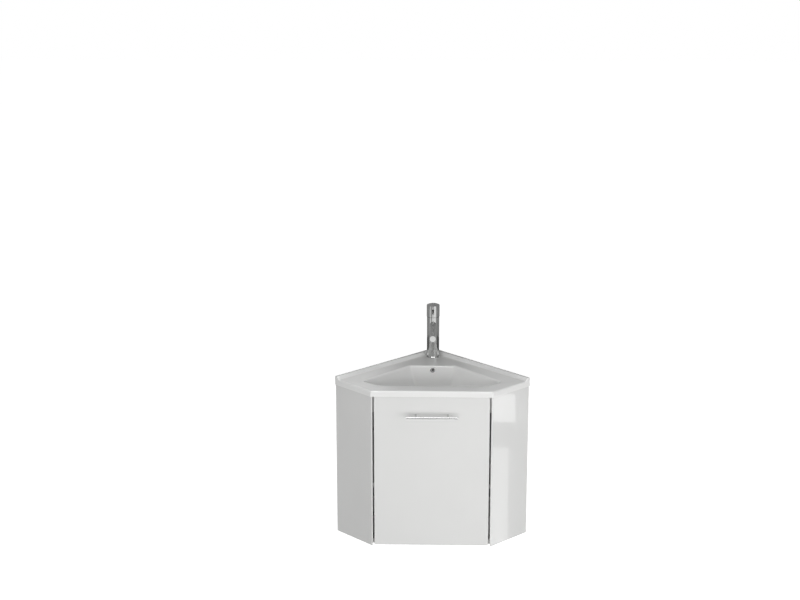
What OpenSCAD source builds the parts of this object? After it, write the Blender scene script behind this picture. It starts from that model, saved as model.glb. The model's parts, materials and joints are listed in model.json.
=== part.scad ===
// Corner vanity unit: a five-sided wall cabinet with one door under a moulded corner washbasin.
// The origin lies on the corner line of the two walls, level with the underside of the cabinet.
// X runs to the right, the door faces -Y, Z runs up, and the walls stand at 45 degrees to X.

/* [Cabinet] */
// Length of the cabinet along each wall
wall_leg = 450; // [440:1:470]
// How far the side panels stand off the walls
side_depth = 172; // [168:1:180]
// Height of the side panels
cab_h = 520; // [510:1:560]
// Thickness of the boards
board_t = 16; // [15:0.5:18]
// Width of the flat front nose of each side panel
panel_nose = 3.4; // [2:0.1:5]
// Height of the rails along the walls under the basin
upper_rail_h = 80; // [60:1:100]
// Height of the rails along the walls above the bottom panel
lower_rail_h = 60; // [40:1:90]
// Height of the stretcher behind the top of the door
stretcher_h = 60; // [50:1:80]
// Distance between the two wall screws of one rail
screw_spacing = 240; // [200:1:280]
// Radius of the wall screw holes
screw_hole_r = 3.2; // [2.5:0.1:4]

/* [Shelf] */
// Gap between the shelf and the trap above it
shelf_room = 21; // [10:1:50]
// Radius of the shelf pins
shelf_pin_r = 2.5; // [2:0.1:3.5]

/* [Door] */
// Gap on each side of the door
door_gap = 5.5; // [5:0.1:7]
// Height of the door's lower edge
door_bottom = 3.5; // [2:0.1:8]
// Gap between the door and the basin
door_top_gap = 1.5; // [1:0.1:5]
// Radius of the door's upright edges
door_edge_r = 1.2; // [0.5:0.1:2]

/* [Handle] */
// Length of the handle bar
handle_len = 166; // [140:1:200]
// Diameter of the bar and of its posts
handle_d = 8; // [7:0.5:10]
// Distance between the posts
handle_centres = 104; // [90:1:128]
// Distance from the door to the bar's axis
handle_reach = 30; // [25:1:35]
// Distance of the bar's axis below the door's top
handle_down = 60.5; // [40:0.5:80]

/* [Hinges] */
// Height of the lower hinge
hinge_low_z = 100; // [80:1:120]
// Distance of the upper hinge below the top of the cabinet
hinge_down = 120; // [110:1:150]
// Radius of the hinge cups
cup_r = 17.5; // [17:0.1:18]
// Depth of the hinge cups in the door
cup_depth = 12.5; // [12:0.1:13]
// Radius of the hinge pins
hinge_pin_r = 1.25; // [1:0.05:1.4]

/* [Basin] */
// How far the basin stands out over the cabinet
basin_over = 3.5; // [2:0.1:6]
// Height of the deck over the cabinet
apron_h = 20; // [18:0.5:26]
// Height of the upstand over the deck
upstand_h = 10; // [6:0.5:16]
// Width of the upstand along the walls
upstand_w = 20; // [16:0.5:24]
// Thickness of the apron
apron_t = 10; // [8:0.5:14]
// Thickness of the deck
deck_t = 12; // [10:0.5:14]
// Radius of the rounded outer edges
edge_r = 6; // [3:0.5:8]
// Depth of the bowl below the deck
bowl_depth = 105; // [95:1:110]
// Thickness of the bowl's wall
bowl_wall = 9; // [7:0.5:11]

/* [Tap] */
// Distance of the tap's axis from the wall corner line
tap_back = 68; // [64:1:75]
// Radius of the tap's body
tap_r = 21; // [20.5:0.1:23]
// Height of the joint line between the body and the cap over the deck
tap_joint_h = 144; // [130:1:155]
// Height of the cap's side
cap_h = 40; // [36:0.5:46]
// Radius of the spout
spout_r = 10; // [9:0.1:12]
// Reach of the spout from the tap's axis
spout_reach = 120; // [105:1:130]
// Slope of the spout below level
spout_slope = 13; // [8:1:16]
// Radius of the hole for the tap
tap_hole_r = 17.5; // [17:0.1:18]
// Radius of the two inlet threads
inlet_r = 5; // [4.5:0.1:5.2]

/* [Waste] */
// Distance of the waste from the wall corner line
waste_back = 285; // [275:1:295]
// Radius of the waste pipe
pipe_r = 16; // [15:0.1:16.5]
// Radius of the thread on the waste's tail
tail_r = 21; // [20.5:0.1:22]
// Radius of the waste hole in the basin
waste_hole_r = 23; // [22.5:0.1:24]

/* [Hidden] */
$fn = 64;
// Every node is one of these pieces

white = "#e6e6e3";
carcass = "#dcdcd8";
chrome = "#9c9d9b";
steel = "#a9a9a6";
rubber = "#3a3a3a";
plastic = "#d9d9d6";
brass = "#b9a36a";

// Clearances
run_fit = 0.05;   // radial, for pins and shafts that turn
hole_fit = 0.1;   // radial, for fasteners in their holes
seat_fit = 0.3;   // between pieces that only rest near each other
cut = 1;          // how far a cutting tool passes a face

// Plan of the walls: u runs along a wall from the corner, v runs off the wall into the room
c = sqrt(1 / 2);
function wall_pt(u, v) = [(u - v) * c, -(u + v) * c];
function v_at(u, y) = -y / c - u;
function mirrored(points) = [for (i = [len(points) - 1 : -1 : 0]) [-points[i].x, points[i].y]];
// Five-sided plan: its corner lies wall_off off both walls, its front edge at y = front
function plan(leg, wall_off, front) =
    let (half = [wall_pt(wall_off, wall_off), wall_pt(leg, wall_off), wall_pt(leg, v_at(leg, front))])
    concat(half, mirrored(half));

front_y = -(wall_leg + side_depth) * c;
inner_leg = wall_leg - board_t;
nose_x = wall_pt(wall_leg, side_depth).x - panel_nose;
panel_end_v = side_depth - board_t + 2 * panel_nose * c;

door_t = board_t;
door_half = nose_x - door_gap;
door_top = cab_h - door_top_gap;
handle_z = door_top - handle_down;
door_back_y = front_y + door_t;
door_reveal = 6;
carcass_y = door_back_y + door_reveal;

deck_z = cab_h + apron_h;
basin_leg = wall_leg + basin_over;
basin_front = front_y - basin_over;
deck_under = deck_z - deck_t;

module on_right_wall() { rotate([0, 0, -45]) children(); }
module on_left_wall() { mirror([1, 0, 0]) on_right_wall() children(); }
module both_sides() {
    children();
    mirror([1, 0, 0]) children();
}
module ring(outer, inner, z0, z1) {
    translate([0, 0, z0]) difference() {
        cylinder(r = outer, h = z1 - z0);
        translate([0, 0, -cut]) cylinder(r = inner, h = z1 - z0 + 2 * cut);
    }
}
module rod(r, z0, z1) { translate([0, 0, z0]) cylinder(r = r, h = z1 - z0); }
// A round bar from y0 to y1 along Y
module rod_y(r, y0, y1) { translate([0, y0, 0]) rotate([-90, 0, 0]) cylinder(r = r, h = y1 - y0); }
// A round bar from x0 to x1 along X
module rod_x(r, x0, x1) { translate([x0, 0, 0]) rotate([0, 90, 0]) cylinder(r = r, h = x1 - x0); }
module bar2d(p, q, t) {
    d = q - p;
    translate(p) rotate(atan2(d.y, d.x)) translate([-t / 2, -t / 2]) square([norm(d) + t, t]);
}

// ---------- washbasin ----------

lip_w = 9;
lip_h = 6;
lip_steps = 3;
// Bowl corners at the deck on the right half: centre x, centre y, radius
bowl_top = [[70, -189, 24], [209, -338, 20], [166, -360, 30]];
// Bowl corners at the floor on the right half: centre x, centre y
bowl_foot = [[42, -236], [110, -300], [88, -335]];
foot_r = 25;
floor_z = deck_z - bowl_depth;
foot_z = floor_z + foot_r;
wall_top_z = deck_z - lip_h;
// The back wall of the bowl, from under its lip to the floor's round
back_top_y = bowl_top[0].y + bowl_top[0][2] - lip_w;
back_foot_y = bowl_foot[0].y + foot_r;
back_tilt = atan2(back_top_y - back_foot_y, wall_top_z - foot_z);

boss_down = 25;
boss_z = floor_z - boss_down;
boss_r = 38;
recess_r = 36;
recess_h = 3;

overflow_down = 8.5;
overflow_r = 6;
duct_w = 16;
duct_t = 6;
duct_wall = 4;
duct_len = 118;
duct_z = boss_z + 8;
// Height of the duct's mouth in the drain
outlet_t = duct_t + 4;

module rounded_post(at) {
    for (a = [0, 18, 36, 54, 72, 90])
        translate([at.x, at.y, deck_z - edge_r + edge_r * sin(a) - 0.01])
            cylinder(r = max(edge_r * cos(a), 0.01), h = 0.01, $fn = 32);
    translate([at.x, at.y, cab_h]) cylinder(r = edge_r, h = apron_h - edge_r, $fn = 32);
}

module basin_slab() {
    reach = 4 * edge_r;
    in_y = basin_front + edge_r;
    in_u = basin_leg - edge_r;
    ends = [wall_pt(-reach, -reach), wall_pt(in_u, -reach), wall_pt(in_u, v_at(in_u, in_y))];
    intersection() {
        hull() both_sides() for (p = ends) rounded_post(p);
        translate([0, 0, cab_h]) linear_extrude(apron_h) polygon(plan(basin_leg + 1, 0, basin_front - 1));
    }
}

// The upstand is flat near the wall and sweeps down to the deck; its free end is upright with a rounded top
module upstand() {
    end_r = 3.5;
    flat = 0.4 * upstand_w;
    steps = 8;
    sunk = -edge_r - 1;
    sweep = [for (i = [0 : steps])
        [-flat - (upstand_w - flat) * i / steps, upstand_h * (1 + cos(180 * i / steps)) / 2]];
    on_right_wall() translate([0, 0, deck_z]) intersection() {
        rotate([90, 0, 90]) linear_extrude(basin_leg)
            polygon(concat([[0, sunk], [0, upstand_h]], sweep, [[-flat, sunk]]));
        rotate([90, 0, 0]) linear_extrude(upstand_w) {
            translate([-cut, sunk - cut]) square([basin_leg - end_r + cut, upstand_h - sunk + cut]);
            translate([-cut, sunk - cut]) square([basin_leg + cut, upstand_h - end_r - sunk + cut]);
            translate([basin_leg - end_r, upstand_h - end_r]) circle(r = end_r);
        }
    }
}

module bowl_outline(inset, z, h = 0.01) {
    both_sides() for (p = bowl_top)
        translate([p.x, p.y, z]) cylinder(r = p[2] - inset, h = h, $fn = 32);
}

module bowl_lip() {
    for (i = [0 : lip_steps - 1]) {
        a0 = 90 * i / lip_steps;
        a1 = 90 * (i + 1) / lip_steps;
        hull() {
            bowl_outline(lip_w * sin(a0), deck_z - lip_h * (1 - cos(a0)), i == 0 ? cut : 0.01);
            bowl_outline(lip_w * sin(a1), deck_z - lip_h * (1 - cos(a1)));
        }
    }
}

module bowl_hollow(grow) {
    hull() {
        bowl_outline(lip_w - grow, wall_top_z);
        both_sides() for (p = bowl_foot)
            translate([p.x, p.y, foot_z]) sphere(r = foot_r + grow, $fn = 32);
    }
}

module at_overflow() { translate([0, back_top_y, wall_top_z]) rotate([-back_tilt, 0, 0]) children(); }
module at_waste() { translate([0, -waste_back, 0]) children(); }
module at_tap() { translate([0, -tap_back, 0]) children(); }

module duct(grow) {
    w = duct_w + 2 * grow;
    t = duct_t + 2 * grow;
    y0 = bowl_wall + 2 - grow;
    at_overflow() translate([-w / 2, y0, -duct_len - grow]) cube([w, t, duct_len + grow - 3]);
    run = waste_back + back_foot_y - waste_hole_r;
    translate([-w / 2, -waste_back + waste_hole_r - 2, duct_z - grow]) cube([w, run, outlet_t + 2 * grow]);
}

module washbasin() color(white) {
    difference() {
        union() {
            difference() {
                basin_slab();
                translate([0, 0, cab_h - cut]) linear_extrude(apron_h - deck_t + cut)
                    polygon(plan(basin_leg - apron_t, apron_t, basin_front + apron_t));
            }
            both_sides() upstand();
            bowl_hollow(bowl_wall);
            at_waste() rod(boss_r, boss_z, floor_z);
            difference() {
                duct(duct_wall);
                translate([0, 0, deck_z]) linear_extrude(bowl_depth) square(2 * waste_back, center = true);
            }
        }
        bowl_lip();
        bowl_hollow(0);
        duct(0);
        at_overflow() translate([0, 0, -overflow_down]) rod_y(overflow_r + hole_fit, -cut, bowl_wall + 4);
        at_waste() rod(waste_hole_r, boss_z - cut, floor_z + cut);
        at_waste() rod(recess_r, floor_z - recess_h, floor_z + cut);
        at_tap() rod(tap_hole_r, deck_under - cut, deck_z + cut);
    }
}

module overflow_ring() color(chrome) {
    at_overflow() translate([0, 0, -overflow_down]) difference() {
        union() {
            rod_y(overflow_r + 2, -1, -0.02);
            rod_y(overflow_r, -1, bowl_wall);
        }
        rod_y(overflow_r - 1.2, -2, bowl_wall + cut);
    }
}

// ---------- carcass ----------

cam_r = 7.5;
cam_h = 12.5;
cam_inset = 24;
cam_bolt_r = 3;
cam_bolt_in = 11;
cam_v = [50, 130];
upper_rail_z = cab_h - upper_rail_h;
rail_cam_z = [board_t + lower_rail_h / 2, upper_rail_z + upper_rail_h / 2];

// One disc on its side with its bolt running into the side panel at +X
module cam(fit) {
    past = fit > 0 ? cut : 0;
    translate([0, 0, board_t / 2 - cam_h]) cylinder(r = cam_r + fit, h = cam_h + past);
    rod_x(cam_bolt_r + fit, 0, cam_inset + cam_bolt_in + fit);
}

module cams(fit) {
    for (v = cam_v) translate([inner_leg - cam_inset, -v, board_t / 2]) cam(fit);
    for (z = rail_cam_z) translate([inner_leg - cam_inset, -board_t / 2, z]) rotate([90, 0, 0]) cam(fit);
}

shelf_gap = 1;
shelf_wall_gap = 20;
shelf_back_y = -150;
shelf_front_y = carcass_y + 14;
// The pins' distance from the wall and from the side panel's front edge
shelf_pin_back = 45;
shelf_pin_front = 57;
shelf_pin_v = [shelf_pin_back, side_depth - shelf_pin_front];
shelf_pin_out = 10;
shelf_pin_in = 8;
shelf_pin_head = 1;

module shelf_pin_shape(fit) {
    for (v = shelf_pin_v) translate([0, -v, shelf_z - shelf_pin_r - shelf_pin_head]) {
        rod_x(shelf_pin_r + fit, inner_leg, inner_leg + shelf_pin_in + fit);
        if (fit == 0) rod_x(shelf_pin_r + shelf_pin_head, inner_leg - shelf_pin_out, inner_leg);
    }
}

screw_r = 1.75;
screw_len = 12;
screw_head_r = 3.5;
screw_head_h = 1.6;
// A wood screw along -Z: the head stands on z = 0
module wood_screw(fit) {
    rod(screw_r + fit, -screw_len - fit, fit > 0 ? cut : 0);
    if (fit == 0) cylinder(r = screw_head_r, h = screw_head_h);
}

bracket_t = 2;
bracket_leg = 30;
bracket_w = 20;
bracket_screw_at = 21;
corner_bracket_z = [board_t + lower_rail_h / 2, cab_h - 2 * bracket_w];
stretch_bracket_z = cab_h - 1.5 * bracket_w;
stretch_back_y = carcass_y + board_t;
stretch_v = v_at(inner_leg, stretch_back_y);
stretch_x = wall_pt(inner_leg, stretch_v).x;

// Screws through the corner brackets into the rails, on the right half
module rail_screws(fit) {
    lift = fit > 0 ? 0 : bracket_t;
    for (z = corner_bracket_z) on_right_wall()
        translate([board_t + bracket_screw_at, -board_t - lift, z]) rotate([90, 0, 0]) wood_screw(fit);
}

// Screws through the stretcher brackets, on the right half
module stretcher_screws(fit) {
    lift = fit > 0 ? 0 : bracket_t;
    translate([stretch_x - bracket_screw_at, stretch_back_y + lift, stretch_bracket_z])
        rotate([-90, 0, 0]) wood_screw(fit);
    on_right_wall() translate([inner_leg - lift, -stretch_v + bracket_screw_at, stretch_bracket_z])
        rotate([0, -90, 0]) wood_screw(fit);
}

module side_panel() {
    difference() {
        on_right_wall() difference() {
            linear_extrude(cab_h) polygon([
                [inner_leg, 0],
                [wall_leg, 0],
                [wall_leg, -side_depth],
                [wall_leg - panel_nose * c, -side_depth - panel_nose * c],
                [inner_leg, -panel_end_v]]);
            cams(hole_fit);
            shelf_pin_shape(hole_fit);
        }
        stretcher_screws(hole_fit);
    }
}

module side_panel_right() color(white) side_panel();
module side_panel_left() color(white) difference() {
    mirror([1, 0, 0]) side_panel();
    for (z = hinge_heights) hinge_base_screws(z, hole_fit);
}

module bottom_panel() color(carcass) difference() {
    linear_extrude(board_t) polygon(plan(inner_leg, 0, carcass_y));
    both_sides() on_right_wall() cams(hole_fit);
}

module rail(z0, h) {
    difference() {
        on_right_wall() difference() {
            translate([0, 0, z0]) linear_extrude(h)
                polygon([[0, 0], [inner_leg, 0], [inner_leg, -board_t], [board_t, -board_t]]);
            cams(hole_fit);
        }
        rail_screws(hole_fit);
    }
}

wall_screw_shift = 20;
wall_screw_down = 60;
wall_screw_u = inner_leg / 2 + wall_screw_shift;
wall_screw_z = cab_h - wall_screw_down;
module upper_rail() {
    difference() {
        rail(upper_rail_z, upper_rail_h);
        on_right_wall() for (side = [-1, 1])
            translate([wall_screw_u + side * screw_spacing / 2, 0, wall_screw_z])
                rod_y(screw_hole_r, -board_t - cut, cut);
    }
}

module upper_rail_right() color(carcass) upper_rail();
module upper_rail_left() color(carcass) mirror([1, 0, 0]) upper_rail();
module lower_rail_right() color(carcass) rail(board_t, lower_rail_h);
module lower_rail_left() color(carcass) mirror([1, 0, 0]) rail(board_t, lower_rail_h);

module front_stretcher() color(carcass) difference() {
    front_x = wall_pt(inner_leg, v_at(inner_leg, carcass_y)).x;
    translate([0, 0, cab_h - stretcher_h]) linear_extrude(stretcher_h) polygon([
        [-front_x, carcass_y], [front_x, carcass_y],
        [stretch_x, stretch_back_y], [-stretch_x, stretch_back_y]]);
    both_sides() stretcher_screws(hole_fit);
}

module shelf() color(white) {
    edge_u = inner_leg - shelf_gap;
    half = [
        wall_pt(v_at(shelf_wall_gap, shelf_back_y), shelf_wall_gap),
        wall_pt(edge_u, shelf_wall_gap),
        wall_pt(edge_u, v_at(edge_u, shelf_front_y))];
    translate([0, 0, shelf_z]) linear_extrude(board_t) polygon(concat(half, mirrored(half)));
}

module shelf_pins() color(steel) both_sides() on_right_wall() shelf_pin_shape(0);
module cam_connectors() color(steel) both_sides() on_right_wall() cams(0);

module corner_brackets() color(steel) difference() {
    for (z = corner_bracket_z) translate([0, 0, z - bracket_w / 2]) linear_extrude(bracket_w)
        both_sides() rotate(-45) polygon([
            [board_t, -board_t],
            [board_t + bracket_leg, -board_t],
            [board_t + bracket_leg, -board_t - bracket_t],
            [board_t + bracket_t, -board_t - bracket_t]]);
    both_sides() bracket_holes();
}
// The holes in the legs of the corner brackets
module bracket_holes() {
    for (z = corner_bracket_z) on_right_wall()
        translate([board_t + bracket_screw_at, 0, z])
            rod_y(screw_r + hole_fit, -board_t - bracket_t - cut, -board_t + cut);
}

module stretcher_brackets() color(steel) both_sides() difference() {
    translate([0, 0, stretch_bracket_z - bracket_w / 2]) linear_extrude(bracket_w) {
        translate([stretch_x - bracket_leg, stretch_back_y]) square([bracket_leg, bracket_t]);
        rotate(-45) translate([inner_leg - bracket_t, -stretch_v]) square([bracket_t, bracket_leg]);
    }
    translate([stretch_x - bracket_screw_at, stretch_back_y, stretch_bracket_z])
        rod_y(screw_r + hole_fit, -cut, bracket_t + cut);
    on_right_wall() translate([inner_leg, -stretch_v + bracket_screw_at, stretch_bracket_z])
        rod_x(screw_r + hole_fit, -bracket_t - cut, cut);
}

module bracket_screws() color(steel) both_sides() {
    rail_screws(0);
    stretcher_screws(0);
}

buffer_r = 5;
buffer_in = 35;
buffer_x = door_half - buffer_in;
module door_buffers() color(plastic) {
    for (z = [board_t / 2, cab_h - stretcher_h / 2])
        translate([buffer_x, 0, z]) rod_y(buffer_r, door_back_y + seat_fit, carcass_y);
}

// ---------- hinges ----------

hinge_high_z = cab_h - hinge_down;
hinge_heights = [hinge_low_z, hinge_high_z];
pin_in = 10;
pin_back = door_t / 2;
pin_x = -door_half + pin_in;
pin_y = front_y + pin_back;
cup_edge = 5;
cup_x = -door_half + cup_edge + cup_r;
cup_wall = 1;
cup_floor = 0.8;
cup_flange_r = cup_r + 2;
cup_flange_t = 1.2;
ear_at = 24;
ear_r = 5;
arm_t = 2.5;
arm_w = 11;
eye_r = 2.6;
cheek_in = arm_w / 2 + 1.5;
cheek_t = 4;
pin_half = cheek_in + cheek_t - 0.5;
crank_x = 13.5;
crank_y = pin_back + 8;
plate_h = 8;
plate_len = 46;
arm_run = 62;
// The crank meets the run along the side panel where that run's middle line passes
panel_edge = wall_pt(inner_leg, panel_end_v);
run_off = (plate_h + arm_t / 2) * sqrt(2);
bend_x = run_off - crank_y - (pin_x + panel_edge.x) + (panel_edge.y - pin_y);
plate_in = 26;
plate_v = panel_end_v - plate_in;

module at_pin(z) { translate([pin_x, pin_y, z]) children(); }

module hinge_arm(z) {
    at_pin(z - arm_w / 2) difference() {
        linear_extrude(arm_w) {
            circle(r = eye_r);
            bar2d([0, 0], [crank_x, 0], arm_t);
            bar2d([crank_x, 0], [crank_x, crank_y], arm_t);
            bar2d([crank_x, crank_y], [bend_x, crank_y], arm_t);
            bar2d([bend_x, crank_y], [bend_x - arm_run * c, crank_y + arm_run * c], arm_t);
        }
        translate([0, 0, -cut]) cylinder(r = hinge_pin_r + run_fit, h = arm_w + 2 * cut);
    }
}

plate_screw_z = 16;
base_screw_r = 2.5;
base_screw_len = 11;
base_head_h = 2;
arm_screw_in = 30;
arm_screw_v = plate_v - arm_screw_in;
arm_screw_r = 2;
arm_screw_len = 6;
arm_head_h = 1.6;
screw_head_over = 1.5;
plate_foot_t = 3;
plate_foot_w = 18;

// Two screws of a mounting plate that stand in the side panel
module hinge_base_screws(z, fit) {
    on_left_wall() for (side = [-1, 1])
        translate([inner_leg, -plate_v + plate_len / 2, z + side * plate_screw_z]) {
            rod_x(base_screw_r + fit, fit > 0 ? -cut : -plate_foot_t, base_screw_len + fit);
            if (fit == 0) rod_x(base_screw_r + screw_head_over, -plate_foot_t - base_head_h, -plate_foot_t);
        }
}
module arm_screw(z, fit) {
    on_left_wall() translate([inner_leg - plate_h, -arm_screw_v, z]) {
        rod_x(arm_screw_r + fit, -arm_t - (fit > 0 ? cut : 0), arm_screw_len + fit);
        if (fit == 0) rod_x(arm_screw_r + screw_head_over, -arm_t - arm_head_h, -arm_t);
    }
}

module hinge_plate(z) {
    difference() {
        on_left_wall() {
            translate([inner_leg - plate_h, -plate_v, z - arm_w / 2]) cube([plate_h, plate_len, arm_w]);
            translate([inner_leg - plate_foot_t, -plate_v + (plate_len - plate_foot_w) / 2, z]) {
                translate([0, 0, -plate_screw_z]) cube([plate_foot_t, plate_foot_w, 2 * plate_screw_z]);
                for (side = [-1, 1]) translate([0, plate_foot_w / 2, side * plate_screw_z])
                    rod_x(plate_foot_w / 2, 0, plate_foot_t);
            }
        }
        plate_holes(z);
        arm_screw(z, hole_fit);
    }
}
module plate_holes(z) {
    on_left_wall() for (side = [-1, 1])
        translate([inner_leg, -plate_v + plate_len / 2, z + side * plate_screw_z])
            rod_x(base_screw_r + hole_fit, -plate_foot_t - cut, cut);
}

module hinge_arm_with_hole(z) {
    difference() {
        hinge_arm(z);
        arm_screw(z, hole_fit);
    }
}

module cup_shape(z) {
    translate([cup_x, door_back_y, z]) {
        difference() {
            union() {
                rod_y(cup_r, -cup_depth, 0);
                rod_y(cup_flange_r, 0, cup_flange_t);
                translate([-ear_r, 0, -ear_at]) cube([2 * ear_r, cup_flange_t, 2 * ear_at]);
                for (side = [-1, 1]) translate([0, 0, side * ear_at]) rod_y(ear_r, 0, cup_flange_t);
            }
            rod_y(cup_r - cup_wall, -cup_depth + cup_floor, cup_flange_t + cut);
            for (side = [-1, 1]) translate([0, 0, side * ear_at])
                rod_y(screw_r + hole_fit, -cut, cup_flange_t + cut);
        }
    }
    // Cheeks that carry the pin
    intersection() {
        translate([cup_x, door_back_y, z]) rod_y(cup_r - cup_wall / 2, -cup_depth + cup_floor / 2, 0);
        for (side = [-1, 1]) at_pin(z + side * (cheek_in + cheek_t / 2) - cheek_t / 2)
            translate([-3, -door_t, 0]) cube([6, door_t + 3, cheek_t]);
    }
}
module hinge_cup(z) {
    difference() {
        cup_shape(z);
        at_pin(z) rod(hinge_pin_r + 0.02, -pin_half - 0.1, pin_half + 0.1);
    }
}

module cup_screw_set(fit) {
    lift = fit > 0 ? 0 : cup_flange_t;
    for (z = hinge_heights, side = [-1, 1])
        translate([cup_x, door_back_y + lift, z + side * ear_at]) rotate([-90, 0, 0]) wood_screw(fit);
}

module hinge_cup_upper() color(steel) hinge_cup(hinge_high_z);
module hinge_cup_lower() color(steel) hinge_cup(hinge_low_z);
module cup_screws() color(steel) cup_screw_set(0);
module hinge_pins() color(steel) for (z = hinge_heights) at_pin(z) rod(hinge_pin_r, -pin_half, pin_half);
module hinge_arm_upper() color(steel) hinge_arm_with_hole(hinge_high_z);
module hinge_arm_lower() color(steel) hinge_arm_with_hole(hinge_low_z);
module hinge_plate_upper() color(steel) hinge_plate(hinge_high_z);
module hinge_plate_lower() color(steel) hinge_plate(hinge_low_z);
module hinge_screws() color(steel) for (z = hinge_heights) {
    hinge_base_screws(z, 0);
    arm_screw(z, 0);
}

// ---------- door and handle ----------

handle_screw_r = 2;
handle_screw_in = 12;
handle_head_h = 2.4;
handle_y = front_y - handle_reach;

module handle_screw_set(fit) {
    for (side = [-1, 1]) translate([side * handle_centres / 2, 0, handle_z]) {
        rod_y(handle_screw_r + fit, front_y - handle_screw_in - fit, door_back_y + (fit > 0 ? cut : 0));
        if (fit == 0) rod_y(2 * handle_screw_r, door_back_y, door_back_y + handle_head_h);
    }
}

// Board with round upright edges, from y0 to y1 and between -half and half
module edged_board(half, y0, y1, z0, z1, r) {
    translate([0, 0, z0]) linear_extrude(z1 - z0) {
        translate([-half + r, y0]) square([2 * (half - r), y1 - y0]);
        translate([-half, y0 + r]) square([2 * half, y1 - y0 - 2 * r]);
        for (x = [-half + r, half - r], y = [y0 + r, y1 - r]) translate([x, y]) circle(r = r, $fn = 24);
    }
}

module door_panel() color(white) difference() {
    edged_board(door_half, front_y, door_back_y, door_bottom, door_top, door_edge_r);
    for (z = hinge_heights) translate([cup_x, door_back_y, z])
        rod_y(cup_r + hole_fit, -cup_depth - hole_fit, cut);
    cup_screw_set(hole_fit);
    handle_screw_set(hole_fit);
}

module handle_bar() color(steel) translate([0, handle_y, handle_z])
    rod_x(handle_d / 2, -handle_len / 2, handle_len / 2);
module handle_posts() color(steel) difference() {
    for (side = [-1, 1]) translate([side * handle_centres / 2, 0, handle_z])
        rod_y(0.45 * handle_d, handle_y, front_y);
    translate([0, handle_y, handle_z]) rod_x(handle_d / 2, -handle_len, handle_len);
    handle_screw_set(hole_fit);
}
module handle_screws() color(steel) handle_screw_set(0);

// ---------- tap ----------

base_ring_h = 5;
ring_over = 1.4;
tap_foot = deck_z + base_ring_h;
joint_z = deck_z + tap_joint_h;
cartridge_r = 17.5;
cartridge_h = 35;
ring_h = 5;
cartridge_z = joint_z - ring_h - cartridge_h;
stem_r = 6;
stem_in = 6;
inlet_x = 8;
inlet_y = 4;
inlet_h = 14;
stud_r = 4;
stud_y = -12;
stud_down = 22;
spout_down = 19;
spout_z = joint_z - spout_down;
spout_end_y = -tap_back - spout_reach * cos(spout_slope);
cap_gap = 1.4;
cap_z = joint_z + cap_gap;
cap_over = 1;
cap_r = tap_r + cap_over;
cap_wall = 3;
cap_dome = 4.5;
dome_r = cap_r - 1.5;
cap_room = 30.7;
cap_ceiling = cap_z + cap_room;
pivot_z = cap_z + 13.2;
pivot_r = 2;
hub_r = 5.2;
hub_half = 4;
fork_z = cap_z + 4.2;
fork_t = 3;
fork_w = 10;
fork_in = hub_half + seat_fit;
lever_r = 2.6;
lever_rest = 5;
lever_travel = 22;
lever_out = 23;
lever_bevel = 1.1;
socket_at = 3.6;
boss_len = 11;
boss_hub_r = hub_half - 0.3;
slot_half = lever_r + 0.6;

module tap_base_ring() color(chrome) at_tap() translate([0, 0, deck_z]) rotate_extrude() polygon([
    [tap_hole_r, 0], [tap_r + ring_over, 0], [tap_r + ring_over, base_ring_h - 1.2],
    [tap_r + 0.3, base_ring_h], [tap_hole_r, base_ring_h]]);

module at_spout() { at_tap() translate([0, 0, spout_z]) rotate([spout_slope, 0, 0]) children(); }
// The outlet looks straight down under the spout's end
outlet_in = 13;
outlet_y = spout_end_y + outlet_in * cos(spout_slope);
outlet_z = spout_z - (spout_reach - outlet_in) * sin(spout_slope);
outlet_r = spout_r - 0.6;
outlet_h = 12;
aerator_r = outlet_r - 1.4;

module tap_body() color(chrome) difference() {
    union() {
        at_tap() rod(tap_r, tap_foot, joint_z);
        intersection() {
            at_spout() rod_y(spout_r, -spout_reach - spout_r, 0);
            translate([-2 * spout_r, spout_end_y, deck_z])
                cube([4 * spout_r, -tap_back - spout_end_y, joint_z - deck_z]);
        }
        translate([0, outlet_y, 0]) rod(outlet_r, outlet_z - outlet_h, outlet_z);
    }
    at_tap() rod(cartridge_r + hole_fit, cartridge_z, joint_z + cut);
    at_spout() rod_y(spout_r - 3, -spout_reach + 4, -8);
    translate([0, outlet_y, 0]) rod(aerator_r + hole_fit, outlet_z - outlet_h - cut, outlet_z - 1);
    at_tap() {
        for (side = [-1, 1]) translate([side * inlet_x, inlet_y, 0])
            rod(inlet_r, tap_foot - cut, tap_foot + inlet_h);
        translate([0, stud_y, 0]) rod(stud_r + hole_fit, tap_foot - cut, tap_foot + inlet_h);
    }
}

module aerator() color(steel) translate([0, outlet_y, 0]) difference() {
    rod(aerator_r, outlet_z - outlet_h - 1, outlet_z - 2);
    rod(aerator_r - 2, outlet_z - outlet_h - 2, outlet_z - outlet_h + 3);
}

module cartridge() color(plastic) at_tap() difference() {
    rod(cartridge_r, cartridge_z, cartridge_z + cartridge_h);
    rod(stem_r + run_fit, cartridge_z + cartridge_h - stem_in - seat_fit, cartridge_z + cartridge_h + cut);
}
module cartridge_ring() color(brass) at_tap() ring(cartridge_r, stem_r + 2, joint_z - ring_h, joint_z);

module cartridge_stem() color(brass) at_tap() difference() {
    union() {
        rod(stem_r, joint_z - ring_h - stem_in, fork_z);
        rod(stem_r + 4, fork_z - 4, fork_z);
        for (x = [fork_in, -fork_in - fork_t]) translate([x, -fork_w / 2, fork_z - cut])
            cube([fork_t, fork_w, cap_ceiling - fork_z + cut]);
    }
    translate([0, 0, pivot_z]) rod_x(pivot_r + 0.02, -2 * cap_r, 2 * cap_r);
}
module lever_pivot_pin() color(steel) at_tap() translate([0, 0, pivot_z])
    rod_x(pivot_r, -fork_in - fork_t, fork_in + fork_t);

module at_lever() { at_tap() translate([0, 0, pivot_z]) rotate([-lever_rest, 0, 0]) children(); }

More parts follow.
